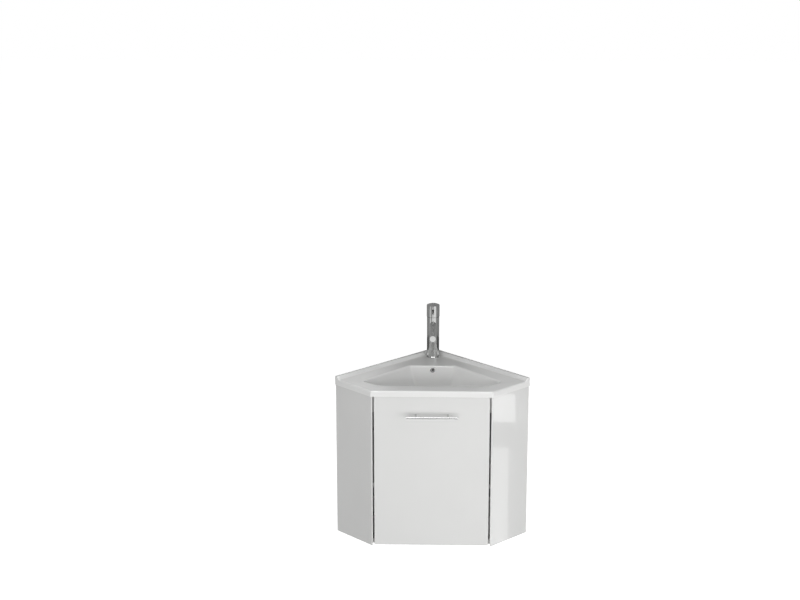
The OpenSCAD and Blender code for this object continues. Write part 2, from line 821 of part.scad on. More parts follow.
// Window in the cap's front that lets the lever travel
slot_low = pivot_z + (cap_r - cap_wall) * tan(lever_rest) - slot_half / cos(lever_rest);
slot_high = pivot_z + cap_r * tan(lever_rest + lever_travel) + slot_half / cos(lever_rest + lever_travel);

module mixer_cap() color(chrome) at_tap() difference() {
    translate([0, 0, cap_z]) rotate_extrude() polygon(concat(
        [[cap_r - cap_wall, 0], [cap_r, 0], [cap_r, cap_h - 1.5], [cap_r - 0.5, cap_h - 0.5]],
        [for (i = [0 : 6]) let (x = dome_r * (1 - i / 6)) [x, cap_h + cap_dome * (1 - pow(x / dome_r, 2))]],
        [[0, cap_ceiling - cap_z], [cap_r - cap_wall, cap_ceiling - cap_z]]));
    translate([-slot_half, -cap_r - cut, slot_low]) cube([2 * slot_half, cap_wall + 6, slot_high - slot_low]);
}

module lever_hub() color(steel) at_lever() difference() {
    union() {
        rod_x(hub_r, -hub_half, hub_half);
        rod_y(boss_hub_r, -boss_len, 0);
    }
    rod_x(pivot_r + run_fit, -hub_half - cut, hub_half + cut);
    rod_y(lever_r + hole_fit, -boss_len - cut, -socket_at);
}
module lever_pin() color(chrome) at_lever() rotate([90, 0, 0]) rotate_extrude() polygon([
    [0, socket_at + 0.1], [lever_r, socket_at + 0.1], [lever_r, cap_r + lever_out - lever_bevel],
    [lever_r - lever_bevel, cap_r + lever_out], [0, cap_r + lever_out]]);

seal_t = 2;
clamp_t = 3;
clamp_r = 25;
window_r = 13.6;
window_y = 4.6;
module horseshoe(z0, z1) {
    at_tap() difference() {
        rod(clamp_r, z0, z1);
        translate([0, window_y, 0]) rod(window_r, z0 - cut, z1 + cut);
        translate([0, stud_y, 0]) rod(stud_r + hole_fit, z0 - cut, z1 + cut);
    }
}
module tap_seal() color(rubber) horseshoe(deck_under - seal_t, deck_under);
module tap_clamp() color(steel) horseshoe(deck_under - seal_t - clamp_t, deck_under - seal_t);
module tap_stud() color(steel) at_tap() translate([0, stud_y, 0])
    rod(stud_r, deck_under - stud_down, tap_foot + inlet_h - 1);
module tap_nut() color(brass) at_tap() translate([0, stud_y, 0]) {
    top = deck_under - seal_t - clamp_t;
    difference() {
        translate([0, 0, top - 6]) cylinder(r = 7.5, h = 6, $fn = 6);
        rod(stud_r + hole_fit, top - 6 - cut, top + cut);
    }
}

// ---------- waste and trap ----------

seal_h = 1;
flange_r = recess_r - 1;
flange_z = floor_z - recess_h + seal_h;
flange_h = 2.5;
tail_in = tail_r - 3;
tail_len = 52;
tail_end = boss_z - tail_len;
guide_up = 25;
guide_z = tail_end + guide_up;
guide_h = 8;
guide_ledge = 1;
guide_wall = 2.5;
window_w = 10;
plug_stem_r = 6;
plug_r = 31;
washer_h = 6;
washer_r = boss_r - 5;
nut_h = 12;
nut_r = boss_r - 6;

module waste_body() color(chrome) at_waste() difference() {
    union() {
        rod(flange_r, flange_z, flange_z + flange_h);
        rod(tail_r, tail_end, flange_z + cut);
    }
    rod(tail_in - guide_ledge, tail_end - cut, guide_z + cut);
    rod(tail_in, guide_z, flange_z + flange_h + cut);
    // Windows that take the overflow water
    for (a = [0, 90]) rotate([0, 0, a])
        translate([-2 * tail_r, -window_w / 2, duct_z]) cube([4 * tail_r, window_w, outlet_t]);
}
// The plug's stem slides in a hub on three arms, in a ring that stands on the waste's ledge
module plug_guide() color(plastic) at_waste() difference() {
    rod(tail_in - run_fit, guide_z, guide_z + guide_h);
    difference() {
        rod(tail_in - guide_wall, guide_z - cut, guide_z + guide_h + cut);
        rod(plug_stem_r + guide_wall, guide_z, guide_z + guide_h);
        for (a = [90, 210, 330]) rotate([0, 0, a]) translate([0, -guide_wall / 2, guide_z])
            cube([tail_in - guide_wall / 2, guide_wall, guide_h]);
    }
    rod(plug_stem_r + run_fit, guide_z - cut, guide_z + guide_h + cut);
}
module waste_seal() color(rubber) at_waste() ring(flange_r, waste_hole_r, floor_z - recess_h, flange_z);
module waste_washer() color(rubber) at_waste() ring(washer_r, tail_r + hole_fit, boss_z - washer_h, boss_z);
module waste_nut() color(plastic) at_waste() difference() {
    translate([0, 0, boss_z - washer_h - nut_h]) cylinder(r = nut_r, h = nut_h, $fn = 8);
    rod(tail_r + hole_fit, boss_z - washer_h - nut_h - cut, boss_z);
}

plug_z = flange_z + flange_h + seat_fit;
plug_boss_h = 5;
plug_boss_r = tail_in - 2.5;
plug_edge = 2;
plug_dome = 2.4;
module waste_plug() color(chrome) at_waste() union() {
    translate([0, 0, plug_z]) rotate_extrude() polygon(concat(
        [[0, 0], [plug_r, 0], [plug_r, plug_edge]],
        [for (i = [1 : 6]) let (x = (plug_r - 1) * (1 - i / 6))
            [x, plug_edge + 0.6 + plug_dome * (1 - pow(x / plug_r, 2))]]));
    rod(plug_boss_r, plug_z - plug_boss_h, plug_z + 0.5);
    rod(plug_stem_r, guide_z - 4, plug_z);
}
module plug_seal() color(rubber) at_waste()
    ring(tail_in - seat_fit, plug_boss_r + 0.02, plug_z - plug_boss_h + 1, plug_z - 1.5);

tube_in = pipe_r - 1.7;
collar_r = 25;
nut_lip_h = 5;
tube_flange_h = 3;
inlet_nut_h = 20;
neck_top = tail_end - tube_flange_h - nut_lip_h - 10;
neck_h = 16;
neck_nut_h = 15;
neck_nut_up = 3;
bottle_r = 31;
bottle_wall = 2.5;
shoulder_z = neck_top - neck_h;
bottle_len = 62;
bottle_end = shoulder_z - bottle_len;
port_down = 28;
port_z = shoulder_z - port_down;
port_len = 48;
dip = 15;
nut_past = 6;
outlet_nut_h = 18;
socket_len = 14;
cup_down = 35;
cup_lap = 8;
cup_over = 3;
wall_dist = waste_back * c;
shelf_z = bottle_end - cup_down - shelf_room - board_t;

module trap_inlet_nut() color(plastic) at_waste() difference() {
    z0 = tail_end - tube_flange_h - nut_lip_h;
    rod(collar_r, z0, z0 + inlet_nut_h + tube_flange_h);
    rod(pipe_r + hole_fit, z0 - cut, z0 + inlet_nut_h);
    rod(tail_r + hole_fit, z0 + nut_lip_h, z0 + inlet_nut_h + tube_flange_h + cut);
}
module trap_inlet_tube() color(plastic) at_waste() difference() {
    union() {
        rod(pipe_r, bottle_end + dip, tail_end);
        rod(tail_r - 1, tail_end - tube_flange_h, tail_end);
    }
    rod(tube_in, bottle_end, tail_end + cut);
}
module trap_neck_nut() color(plastic) at_waste() difference() {
    z0 = neck_top + neck_nut_up - neck_nut_h;
    rod(collar_r, z0, z0 + neck_nut_h);
    rod(pipe_r + hole_fit, z0 - cut, z0 + neck_nut_h + cut);
    rod(tail_r + hole_fit, z0 - cut, neck_top + hole_fit);
}

module toward_wall(z) { at_waste() translate([0, 0, z]) rotate([0, 0, -45]) children(); }

module trap_body() color(plastic) difference() {
    union() {
        at_waste() rotate_extrude() polygon([
            [0, bottle_end], [bottle_r, bottle_end], [bottle_r, shoulder_z - 8],
            [bottle_r - 2, shoulder_z - 3], [tail_r + 2, shoulder_z], [tail_r, shoulder_z],
            [tail_r, neck_top], [0, neck_top]]);
        toward_wall(port_z) rod_y(tail_r, 0, port_len);
    }
    at_waste() rod(bottle_r - bottle_wall, bottle_end - cut, shoulder_z - 9);
    at_waste() rod(pipe_r + hole_fit, bottle_end, neck_top + cut);
    toward_wall(port_z) rod_y(pipe_r + hole_fit, port_len - socket_len, port_len + cut);
    toward_wall(port_z) rod_y(tube_in, bottle_r - 8, port_len);
}
module trap_cup() color(plastic) at_waste() rotate_extrude() polygon([
    [0, bottle_end - cup_down], [bottle_r - 8, bottle_end - cup_down], [bottle_r, bottle_end - cup_down + 7],
    [bottle_r + cup_over, bottle_end - cup_lap], [bottle_r + cup_over, bottle_end + cup_lap],
    [bottle_r + hole_fit, bottle_end + cup_lap], [bottle_r + hole_fit, bottle_end],
    [bottle_r - bottle_wall, bottle_end], [bottle_r - bottle_wall, bottle_end - cup_down + 9],
    [bottle_r - 10, bottle_end - cup_down + 3], [0, bottle_end - cup_down + 3]]);
module trap_outlet_nut() color(plastic) toward_wall(port_z) difference() {
    rod_y(collar_r, port_len + nut_past - outlet_nut_h, port_len + nut_past);
    rod_y(pipe_r + hole_fit, 0, port_len + nut_past + cut);
    rod_y(tail_r + hole_fit, 0, port_len + hole_fit);
}
// The pipe's end in the trap is turned down a little so that its ring seal slides on
module outlet_pipe() color(plastic) toward_wall(port_z) difference() {
    union() {
        rod_y(pipe_r - 0.2, port_len - socket_len + 1, wall_dist - cut);
        rod_y(pipe_r, port_len + nut_past + 0.5, wall_dist);
    }
    rod_y(tube_in, 0, wall_dist + cut);
}

washbasin();
overflow_ring();
side_panel_left();
side_panel_right();
bottom_panel();
upper_rail_left();
upper_rail_right();
lower_rail_left();
lower_rail_right();
front_stretcher();
shelf();
shelf_pins();
cam_connectors();
corner_brackets();
stretcher_brackets();
bracket_screws();
door_panel();
handle_bar();
handle_posts();
handle_screws();
door_buffers();
hinge_cup_upper();
hinge_cup_lower();
cup_screws();
hinge_pins();
hinge_arm_upper();
hinge_arm_lower();
hinge_plate_upper();
hinge_plate_lower();
hinge_screws();
tap_base_ring();
tap_body();
aerator();
cartridge();
cartridge_ring();
cartridge_stem();
lever_pivot_pin();
mixer_cap();
lever_hub();
lever_pin();
tap_stud();
tap_seal();
tap_clamp();
tap_nut();
waste_body();
waste_seal();
waste_washer();
waste_nut();
plug_guide();
waste_plug();
plug_seal();
trap_inlet_nut();
trap_inlet_tube();
trap_neck_nut();
trap_body();
trap_cup();
trap_outlet_nut();
outlet_pipe();
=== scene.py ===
import bmesh
import bpy
import json
import math
from mathutils import Matrix, Vector


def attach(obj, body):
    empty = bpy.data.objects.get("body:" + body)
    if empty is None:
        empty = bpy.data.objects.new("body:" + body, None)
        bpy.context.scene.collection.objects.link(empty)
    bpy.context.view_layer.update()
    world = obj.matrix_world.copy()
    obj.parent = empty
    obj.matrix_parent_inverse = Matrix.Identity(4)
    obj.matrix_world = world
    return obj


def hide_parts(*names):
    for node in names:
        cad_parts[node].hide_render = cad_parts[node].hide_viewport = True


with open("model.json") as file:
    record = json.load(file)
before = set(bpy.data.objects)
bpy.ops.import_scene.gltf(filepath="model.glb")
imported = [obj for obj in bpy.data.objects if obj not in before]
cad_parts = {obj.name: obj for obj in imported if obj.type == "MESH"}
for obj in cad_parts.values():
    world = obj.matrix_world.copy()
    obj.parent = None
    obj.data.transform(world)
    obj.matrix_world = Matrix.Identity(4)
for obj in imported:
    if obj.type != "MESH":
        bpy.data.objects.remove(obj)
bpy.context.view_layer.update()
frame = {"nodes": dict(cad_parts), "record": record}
NODES = frame["nodes"]
# The walls stand at 45 degrees to the unit's front
COS_45 = math.sqrt(0.5)
MM = 0.001


# ---------- camera at the photograph's view ----------

PHOTO_WIDTH = 800
FOCAL_PIXELS = 1699.1
SENSOR_WIDTH = 36
CAMERA_PLACE = (0.04136, -5.64038, 2.29281)
CAMERA_PITCH = math.radians(15.558)
CAMERA_YAW = math.radians(-1.588)
CAMERA_ROLL = math.radians(-0.035)


def make_camera():
    """The camera that was fitted to the edges in the photograph; the pitch is downward."""
    level = math.cos(CAMERA_PITCH)
    ahead = Vector((math.sin(CAMERA_YAW) * level, math.cos(CAMERA_YAW) * level, -math.sin(CAMERA_PITCH)))
    right = Vector((math.cos(CAMERA_YAW), -math.sin(CAMERA_YAW), 0))
    up = right.cross(ahead)
    rolled_right = right * math.cos(CAMERA_ROLL) + up * math.sin(CAMERA_ROLL)
    rolled_up = up * math.cos(CAMERA_ROLL) - right * math.sin(CAMERA_ROLL)
    data = bpy.data.cameras.new("camera")
    data.sensor_width = SENSOR_WIDTH
    data.lens = SENSOR_WIDTH * FOCAL_PIXELS / PHOTO_WIDTH
    camera = bpy.data.objects.new("camera", data)
    matrix = Matrix.Identity(4)
    for i, axis in enumerate((rolled_right, rolled_up, -ahead, Vector(CAMERA_PLACE))):
        matrix[0][i], matrix[1][i], matrix[2][i] = axis
    camera.matrix_world = matrix
    bpy.context.scene.collection.objects.link(camera)
    bpy.context.scene.camera = camera


make_camera()


# ---------- shader nodes ----------

def node_tree(holder):
    """The emptied node tree of a material or a world."""
    holder.use_nodes = True
    tree = holder.node_tree
    tree.nodes.clear()
    return tree


def new(tree, kind, **inputs):
    """A new node with these values on its inputs."""
    node = tree.nodes.new(kind)
    for key, value in inputs.items():
        node.inputs[key].default_value = value
    return node


def link(tree, source, target):
    tree.links.new(source, target)


def ramp(tree, value, low, high, low_result=0.0, high_result=1.0):
    """Carries the range from low to high over to the range of the results."""
    ends = {"From Min": low, "From Max": high, "To Min": low_result, "To Max": high_result}
    node = new(tree, "ShaderNodeMapRange", **ends)
    link(tree, value, node.inputs["Value"])
    return node.outputs[0]


def mixed(tree, factor, first, second):
    """The output of a shader that goes from first to second by the factor."""
    node = new(tree, "ShaderNodeMixShader")
    link(tree, factor, node.inputs[0])
    link(tree, first, node.inputs[1])
    link(tree, second, node.inputs[2])
    return node.outputs[0]


def summed(tree, first, second):
    """The output of a shader that adds two others."""
    node = new(tree, "ShaderNodeAddShader")
    link(tree, first, node.inputs[0])
    link(tree, second, node.inputs[1])
    return node.outputs[0]


def seen_plainly(tree):
    """1 for camera, glossy and transmission rays, else 0."""
    path = new(tree, "ShaderNodeLightPath")
    camera_or_glossy = new(tree, "ShaderNodeMath")
    camera_or_glossy.operation = "MAXIMUM"
    link(tree, path.outputs["Is Camera Ray"], camera_or_glossy.inputs[0])
    link(tree, path.outputs["Is Glossy Ray"], camera_or_glossy.inputs[1])
    any_of_them = new(tree, "ShaderNodeMath")
    any_of_them.operation = "MAXIMUM"
    link(tree, camera_or_glossy.outputs[0], any_of_them.inputs[0])
    link(tree, path.outputs["Is Transmission Ray"], any_of_them.inputs[1])
    return any_of_them.outputs[0]


# ---------- light ----------

WHITE = (1, 1, 1, 1)
ROOM_LIGHT = 0.18

bpy.context.scene.view_settings.view_transform = "Standard"


def make_world():
    """White where it is seen, and a dimmer light in the room."""
    world = bpy.data.worlds.new("studio")
    bpy.context.scene.world = world
    tree = node_tree(world)
    room = new(tree, "ShaderNodeBackground", Color=WHITE, Strength=ROOM_LIGHT)
    white = new(tree, "ShaderNodeBackground", Color=WHITE, Strength=1.0)
    out = new(tree, "ShaderNodeOutputWorld")
    link(tree, mixed(tree, seen_plainly(tree), room.outputs[0], white.outputs[0]), out.inputs[0])


def area(name, place, target, size, power, only_glossy=False):
    """A soft box aimed at a target. It lights without showing in reflections, or else does only that."""
    data = bpy.data.lights.new(name, "AREA")
    data.shape = "RECTANGLE"
    data.size, data.size_y = size
    data.energy = power
    lamp = bpy.data.objects.new(name, data)
    lamp.location = place
    lamp.rotation_mode = "QUATERNION"
    lamp.rotation_quaternion = (Vector(target) - Vector(place)).to_track_quat("-Z", "Y")
    lamp.visible_glossy = only_glossy
    lamp.visible_diffuse = not only_glossy
    lamp.visible_camera = False
    bpy.context.scene.collection.objects.link(lamp)


def make_lamps():
    """Name, place, target, size and power of each lamp, and True where only its reflection is seen."""
    area("front", (0.1, -3.8, 0.5), (0, -0.4, 0.3), (3.0, 1.8), 65)
    area("left", (-1.2, -1.3, 1.4), (-0.4, -0.4, 0.4), (0.5, 0.5), 3)
    area("right", (2.1, -2.6, 0.4), (0.4, -0.4, 0.3), (1.4, 1.4), 25)
    area("top", (0.1, -0.35, 2.7), (0, -0.3, 0.5), (1.6, 1.2), 20)
    # The bright line on the rounded edges and the handle
    area("high", (0, -1.3, 2.7), (0, -0.4, 0.5), (2.2, 0.9), 24, True)
    # The reflection of a window on the unit's right side
    area("window_high", (1.365, -0.362, 0.078), (0.233, -0.404, 0.472), (0.094, 0.11), 0.075, True)
    area("window_low", (0.63, -0.398, -0.005), (0.21, -0.41, 0.17), (0.06, 0.36), 0.09, True)


make_world()
make_lamps()


# ---------- floor and backdrops ----------

FLOOR_Z = -0.31
FLOOR_REACH = 14.0
# The walls above the washbasin: a dim strip, then a wall that is lighter by a faint painted glow. A reach is
# along the wall, from the corner.
WALL_FOOT_Z = 0.551
DIM_STRIP_TOP_Z = 0.6
WALL_TOP_Z = 1.9
WALL_REACH = 2.6
# The part of the walls that shows through the open cabinet
INNER_WALL_FOOT_Z = 0.018
INNER_WALL_TOP_Z = 0.516
INNER_WALL_REACH = 0.445
# How far the wall sheets stand behind the walls' faces
WALL_BACK = 0.0008
# The glowing strips that paint brighter reflections into the deck: x where they start, have their full glow,
# and end
BRIGHT_START = 0.10
BRIGHT_FULL = 0.20
BRIGHT_END = 0.60
BRIGHT_TOP_Z = 0.67
BRIGHT_FIRST_GLOW = 0.08
BRIGHT_LEFT_GLOW = 0.55
BRIGHT_RIGHT_GLOW = 0.38
# They stand before the walls' faces, and so before the other sheets
BRIGHT_BACK = -0.0004
# The sheets across the front of the studio: an upper one, and a lower one that is narrower
FRONT_Y = -2.6
FRONT_LEFT_X = -3.0
UPPER_RIGHT_X = 0.95
UPPER_TOP_Z = 3.2
UPPER_FOOT_Z = -0.02
LOWER_RIGHT_X = -0.9


def sheet(name, corners, material):
    """A flat stage piece with four corners."""
    mesh = bpy.data.meshes.new(name)
    mesh.from_pydata(corners, [], [(0, 1, 2, 3)])
    mesh.materials.append(material)
    piece = bpy.data.objects.new(name, mesh)
    bpy.context.scene.collection.objects.link(piece)
    return piece


def only_reflected(piece):
    piece.visible_camera = False
    piece.visible_diffuse = False
    piece.visible_shadow = False


def floor_material():
    """The camera sees a white floor that keeps the shadow; reflections see it white, other rays pale."""
    material = bpy.data.materials.new("floor")
    tree = node_tree(material)
    pale = new(tree, "ShaderNodeBsdfDiffuse", Color=(0.45, 0.45, 0.445, 1))
    plain = new(tree, "ShaderNodeBsdfDiffuse", Color=(0.80, 0.80, 0.80, 1))
    glow = new(tree, "ShaderNodeEmission", Color=WHITE, Strength=0.86)
    white = new(tree, "ShaderNodeEmission", Color=WHITE, Strength=1.0)
    path = new(tree, "ShaderNodeLightPath")
    out = new(tree, "ShaderNodeOutputMaterial")
    lit = summed(tree, plain.outputs[0], glow.outputs[0])
    seen = mixed(tree, path.outputs["Is Camera Ray"], white.outputs[0], lit)
    link(tree, mixed(tree, seen_plainly(tree), pale.outputs[0], seen), out.inputs[0])
    return material


def backdrop_material(name, level, glow=0.0, fade=None):
    """A matt sheet that is clear from behind, with a painted glow of the given strength. If fade gives two
    places in x, the painted glow grows between them.
    """
    material = bpy.data.materials.new(name)
    tree = node_tree(material)
    matt = new(tree, "ShaderNodeBsdfDiffuse", Color=(level, level, level, 1))
    # The emission is painted light: a glow on a sheet that is no lamp
    painted_glow = new(tree, "ShaderNodeEmission", Color=WHITE, Strength=glow)
    clear = new(tree, "ShaderNodeBsdfTransparent", Color=WHITE)
    face = new(tree, "ShaderNodeNewGeometry")
    out = new(tree, "ShaderNodeOutputMaterial")
    if fade:
        place = new(tree, "ShaderNodeSeparateXYZ")
        link(tree, face.outputs["Position"], place.inputs[0])
        strength = ramp(tree, place.outputs["X"], fade[0], fade[1], BRIGHT_FIRST_GLOW, glow)
        link(tree, strength, painted_glow.inputs["Strength"])
    front = summed(tree, matt.outputs[0], painted_glow.outputs[0])
    link(tree, mixed(tree, face.outputs["Backfacing"], front, clear.outputs[0]), out.inputs[0])
    return material


def wall_sheet(name, side, near, far, back, z0, z1, material):
    """A sheet along one wall, from near to far in x; back is how far it stands behind the wall's face."""
    ends = (near, z0), (far, z0), (far, z1), (near, z1)
    corners = [(side * x, back - x, z) for x, z in ends]
    return sheet(name, corners if side > 0 else corners[::-1], material)


def make_floor():
    s = FLOOR_REACH
    sheet("floor", [(-s, -s, FLOOR_Z), (s, -s, FLOOR_Z), (s, s, FLOOR_Z), (-s, s, FLOOR_Z)], floor_material())


def make_walls():
    """The unit hangs in a corner of two matt walls, in whose place the camera sees the white background.

    They start above the washbasin, to shade it and to show in reflections, and so keep no light off the
    unit's open back. Above a dim strip they carry a faint painted glow. Behind the cabinet's inside, pale
    sheets stand for them.
    """
    low_wall = backdrop_material("low_wall_backdrop", level=0.2)
    # The high wall's glow is painted light, which lights the basin and shows in its reflections
    high_wall = backdrop_material("high_wall_backdrop", level=0.2, glow=0.16)
    pale_wall = backdrop_material("pale_wall_backdrop", level=0.5)
    inner_far = INNER_WALL_REACH * COS_45
    far = WALL_REACH * COS_45
    for side in (-1, 1):
        pale = wall_sheet(f"unit_wall_{side + 1}", side, 0, inner_far, WALL_BACK,
                          INNER_WALL_FOOT_Z, INNER_WALL_TOP_Z, pale_wall)
        pale.visible_diffuse = False
        pale.visible_shadow = False
        low = wall_sheet(f"low_wall_{side + 1}", side, 0, far, WALL_BACK,
                         WALL_FOOT_Z, DIM_STRIP_TOP_Z, low_wall)
        low.visible_camera = False
        high = wall_sheet(f"high_wall_{side + 1}", side, 0, far, WALL_BACK,
                          DIM_STRIP_TOP_Z, WALL_TOP_Z, high_wall)
        high.visible_camera = False


def make_reflection_glow_strips():
    """Glowing strips before both walls, seen only in reflections, paint brighter reflections into the deck
    away from the corner, the left one more so.
    """
    for side, glow in ((-1, BRIGHT_LEFT_GLOW), (1, BRIGHT_RIGHT_GLOW)):
        fade = (side * BRIGHT_START, side * BRIGHT_FULL)
        # The strip's glow is a painted reflection: the sheet glows though it is no lamp, and only reflections
        # see it
        painted_reflection = backdrop_material(f"bright_wall_backdrop_{side + 1}", level=0.2, glow=glow, fade=fade)
        bright = wall_sheet(f"bright_wall_{side + 1}", side, BRIGHT_START, BRIGHT_END, BRIGHT_BACK,
                            WALL_FOOT_Z, BRIGHT_TOP_Z, painted_reflection)
        only_reflected(bright)


def make_front():
    """Grey sheets across the front of the studio, for reflections only, whose faint glow is painted light.

    The lower one ends left of the unit; from there on, reflections see the white floor under the upper one.
    """
    # The sheets' glow is painted light, seen in the reflections of the tap and the boards
    grey = backdrop_material("front_backdrop", level=0.2, glow=0.30)
    upper = ("front_backdrop", UPPER_RIGHT_X, UPPER_FOOT_Z, UPPER_TOP_Z)
    lower = ("front_left_backdrop", LOWER_RIGHT_X, FLOOR_Z, UPPER_FOOT_Z)
    for name, right_x, z0, z1 in (upper, lower):
        ends = (right_x, z0), (FRONT_LEFT_X, z0), (FRONT_LEFT_X, z1), (right_x, z1)
        only_reflected(sheet(name, [(x, FRONT_Y, z) for x, z in ends], grey))


make_floor()
make_walls()
make_reflection_glow_strips()
make_front()


# ---------- materials ----------

def coords(tree):
    return new(tree, "ShaderNodeTexCoord").outputs["Object"]


def noise(tree, vector, scale, detail):
    node = new(tree, "ShaderNodeTexNoise", Scale=scale, Detail=detail, Roughness=0.5)
    link(tree, vector, node.inputs["Vector"])
    return node.outputs["Fac"]


def spread(tree, value, low_result=0.0, high_result=1.0):
    """The middle of a noise's range, where most of it lies, stretched over the range of the results."""
    return ramp(tree, value, 0.3, 0.7, low_result, high_result)


def mix_colour(tree, factor, first, second):
    node = tree.nodes.new("ShaderNodeMix")
    node.data_type = "RGBA"
    node.inputs["A"].default_value = (*first, 1)
    node.inputs["B"].default_value = (*second, 1)
    link(tree, factor, node.inputs["Factor"])
    return node.outputs["Result"]


def bump(tree, height, strength, distance):
    node = new(tree, "ShaderNodeBump", Strength=strength, Distance=distance)
    link(tree, height, node.inputs["Height"])
    return node.outputs[0]


def finish(name, cloud, colours, grain, rough, relief=None, shader_values=None):
    """A material whose colour clouds between two near tones and whose roughness varies between two values.

    cloud and grain are the scale and detail of the two noises behind that. relief is the scale and detail of
    the bump's noise, then the bump's strength and distance.
    """
    material = bpy.data.materials.new(name)
    tree = node_tree(material)
    shader = new(tree, "ShaderNodeBsdfPrincipled", **(shader_values or {}))
    out = new(tree, "ShaderNodeOutputMaterial")
    link(tree, shader.outputs[0], out.inputs[0])
    vector = coords(tree)
    clouds = spread(tree, noise(tree, vector, *cloud))
    link(tree, mix_colour(tree, clouds, *colours), shader.inputs["Base Color"])
    link(tree, spread(tree, noise(tree, vector, *grain), *rough), shader.inputs["Roughness"])
    if relief:
        scale, detail, strength, distance = relief
        height = noise(tree, vector, scale, detail)
        link(tree, bump(tree, height, strength, distance), shader.inputs["Normal"])
    return material


def ceramic():
    """White glaze with a slow wave."""
    return finish("white_ceramic", (6, 3), ((0.83, 0.832, 0.824), (0.86, 0.862, 0.852)), (40, 4),
                  (0.10, 0.17), (22, 1, 0.06, 0.0006), {"Coat Weight": 0.6, "Coat Roughness": 0.03})


def gloss_board():
    """Lacquer with faint orange peel."""
    return finish("white_gloss_board", (5, 2), ((0.735, 0.737, 0.728), (0.755, 0.757, 0.748)), (60, 3),
                  (0.18, 0.26), (260, 1, 0.05, 0.0004), {"Coat Weight": 1.0, "Coat Roughness": 0.035})


def plain_board():
    """Melamine facing with a fine grain."""
    return finish("white_board", (9, 3), ((0.66, 0.66, 0.65), (0.70, 0.70, 0.685)), (90, 3), (0.40, 0.52),
                  (900, 2, 0.12, 0.0003))


def metal(name, colours, rough, grain, peel):
    """A bare metal, whose roughness and relief have the same grain."""
    return finish(name, (30, 3), colours, (grain, 3), rough, (grain, 2, peel, 0.0002), {"Metallic": 1.0})


def chrome():
    return metal("chrome", ((0.61, 0.615, 0.61), (0.67, 0.675, 0.67)), (0.05, 0.10), 220, 0.03)


def steel():
    return metal("steel", ((0.46, 0.46, 0.455), (0.54, 0.54, 0.53)), (0.20, 0.30), 400, 0.08)


def brass():
    return metal("brass", ((0.62, 0.47, 0.22), (0.72, 0.57, 0.30)), (0.22, 0.32), 400, 0.08)


def rubber():
    """Matt black rubber of the seals."""
    return finish("black_rubber", (40, 3), ((0.028, 0.028, 0.028), (0.05, 0.05, 0.049)), (200, 3),
                  (0.55, 0.72), (900, 2, 0.15, 0.0003))


def plastic():
    """Satin white plastic of the trap."""
    return finish("white_plastic", (14, 3), ((0.74, 0.74, 0.72), (0.79, 0.79, 0.77)), (120, 3),
                  (0.30, 0.42), (700, 2, 0.08, 0.0002))


def buffer_gel():
    """Clear gel of the door's buffers."""
    return finish("clear_buffer", (60, 2), ((0.68, 0.68, 0.67), (0.76, 0.76, 0.75)), (150, 2), (0.18, 0.30),
                  shader_values={"Transmission Weight": 0.35, "IOR": 1.45})


MATERIALS = {
    "white_ceramic": ceramic(),
    "white_gloss_board": gloss_board(),
    "white_board": plain_board(),
    "chrome": chrome(),
    "steel": steel(),
    "brass": brass(),
    "black_rubber": rubber(),
    "white_plastic": plastic(),
    "clear_buffer": buffer_gel(),
}
for part in frame["record"]["subparts"]:
    node = NODES[part["node"]]
    node.data.materials.clear()
    node.data.materials.append(MATERIALS[part["material_slot"]])


# ---------- washbasin ----------
# The moulding's sizes are part.scad's, in millimetres. u runs along a wall from the corner, v off the wall.

WALL_LEG = 450.0
SIDE_DEPTH = 172.0
CAB_H = 520.0
CAB_FRONT_Y = -(WALL_LEG + SIDE_DEPTH) * COS_45
OVERHANG = 3.5
APRON_H = 20.0
APRON_T = 10.0
UPSTAND_H = 10.0
UPSTAND_W = 20.0
UPSTAND_END_R = 3.5
# The share of its width over which the upstand is flat on top
UPSTAND_FLAT = 0.4
EDGE_R = 6.0
DECK_Z = CAB_H + APRON_H
DECK_T = 12.0
BASIN_LEG = WALL_LEG + OVERHANG
BASIN_FRONT_Y = CAB_FRONT_Y - OVERHANG
LIP_W = 9.0
LIP_H = 6.0
BOWL_DEPTH = 105
BOWL_WALL = 9.0
# Corner circles of the bowl at the deck, as x, y and radius, and the balls at its foot, on the right half
BOWL_TOP = [(70, -189, 24), (209, -338, 20), (166, -360, 30)]
BOWL_FOOT = [(42, -236), (110, -300), (88, -335)]
FOOT_R = 25.0
BOWL_FLOOR_Z = DECK_Z - BOWL_DEPTH
FOOT_Z = BOWL_FLOOR_Z + FOOT_R
SLOPE_TOP_Z = DECK_Z - LIP_H
BACK_TOP_Y = BOWL_TOP[0][1] + BOWL_TOP[0][2] - LIP_W
BACK_FOOT_Y = BOWL_FOOT[0][1] + FOOT_R
BACK_TILT = math.atan2(BACK_TOP_Y - BACK_FOOT_Y, SLOPE_TOP_Z - FOOT_Z)
TAP_Y = -68.0
TAP_HOLE_R = 17.5
WASTE_Y = -285.0
WASTE_HOLE_R = 23
RECESS_R = 36
RECESS_DEPTH = 3
BOSS_R = 38.0
BOSS_H = 25
BOSS_Z = BOWL_FLOOR_Z - BOSS_H
OVERFLOW_HOLE_R = 6.1
OVERFLOW_DOWN = 8.5
OVERFLOW_HOLE_END = BOWL_WALL + 4
# The duct runs down behind the bowl's back wall, from just below the lip, and then forward to the boss
DUCT_W = 16.0
DUCT_T = 6.0
DUCT_WALL = 4.0
DUCT_LENGTH = 118.0
DUCT_TOP_DOWN = 3
DUCT_BEHIND = 2
DUCT_RUN_Z = BOSS_Z + 8
DUCT_RUN_H = DUCT_T + 4
DUCT_RUN_END_Y = WASTE_Y + 21
# How far a cutting tool goes past what it cuts
PAST = 1
HOLLOW_PAST = 3
# A block over the deck, which trims the duct
TRIM_HALF_W = 200
TRIM_FRONT_Y = -400
TRIM_H = 200
